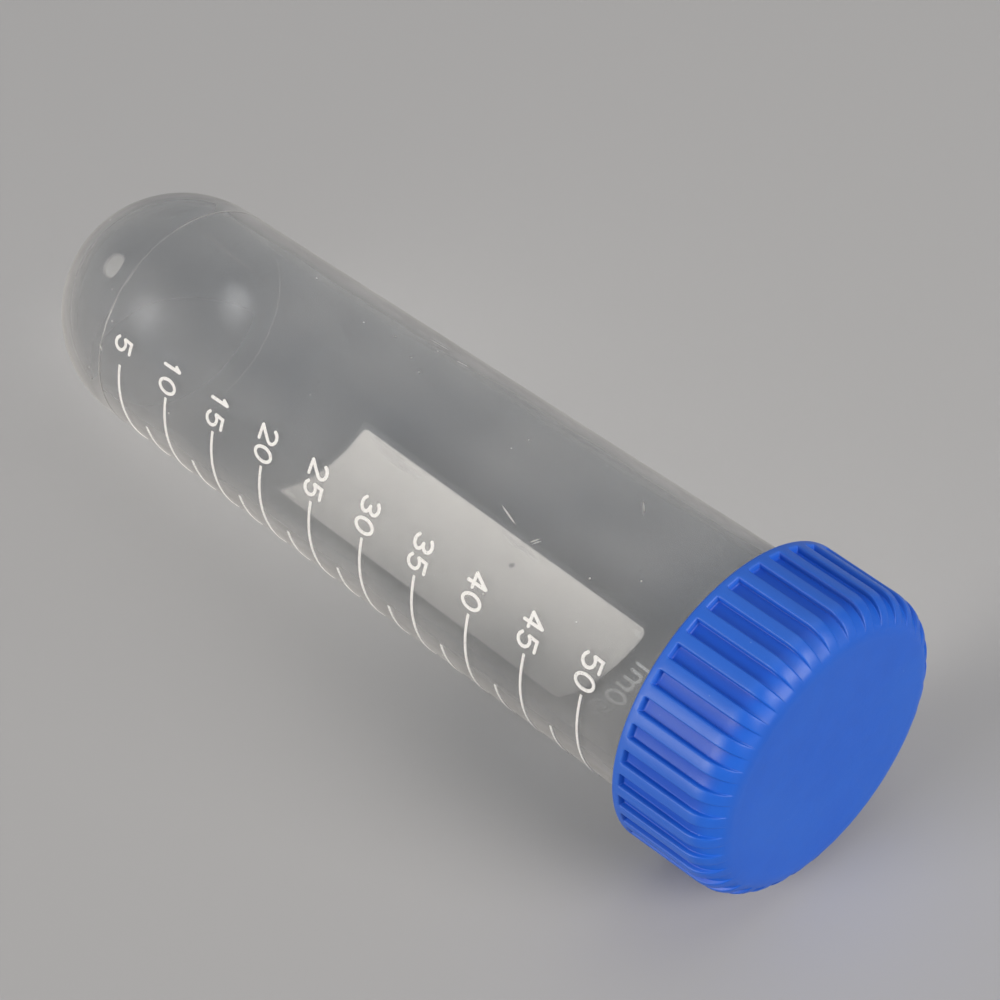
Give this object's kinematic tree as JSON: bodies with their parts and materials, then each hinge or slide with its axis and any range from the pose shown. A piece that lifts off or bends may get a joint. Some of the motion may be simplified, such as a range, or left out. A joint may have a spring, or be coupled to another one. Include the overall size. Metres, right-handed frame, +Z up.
{
  "type": "round-bottom screw-cap tube",
  "caption": "Translucent round-bottom sample tube with a printed volume scale and a ribbed blue screw cap, lying on its side.",
  "frame": {"origin": "on the surface the tube lies on, under the middle of its box", "axes": "+X along the tube from its round bottom to its cap, level; +Z up; the tube's own axis rises 2.28 degrees towards the cap, because the cap is wider than the body"},
  "size_m": [0.1167, 0.0362, 0.0364],
  "materials": {
    "tube_plastic": "natural translucent polypropylene, glossy, slightly cloudy",
    "cap_plastic": "satin blue polyethylene",
    "seal_plastic": "soft natural-white plastic",
    "print_ink": "white screen-print ink"
  },
  "bodies": {
    "tube": {"tube": "tube_plastic", "scale_lines": "print_ink", "scale_numbers": "print_ink", "writing_panel": "print_ink", "capacity_mark": "print_ink"},
    "seal": {"sealing_ring": "seal_plastic"},
    "cap": {"cap": "cap_plastic"}
  },
  "joints": [
    {"name": "seal_lift", "type": "slide", "parent": "tube", "child": "seal", "axis": [0.9992, 0, 0.0397], "range_m": [0, 0.01401]},
    {"name": "cap_turn", "type": "hinge", "parent": "seal", "child": "cap", "pos_m": [0.0578, 0, 0.01859], "axis": [0.9992, 0, 0.0397], "range_deg": [0, 1260]}
  ],
  "couplings": [
    {"joint": "seal_lift", "follows": "cap_turn", "m_per_rad": 0.00063662}
  ]
}
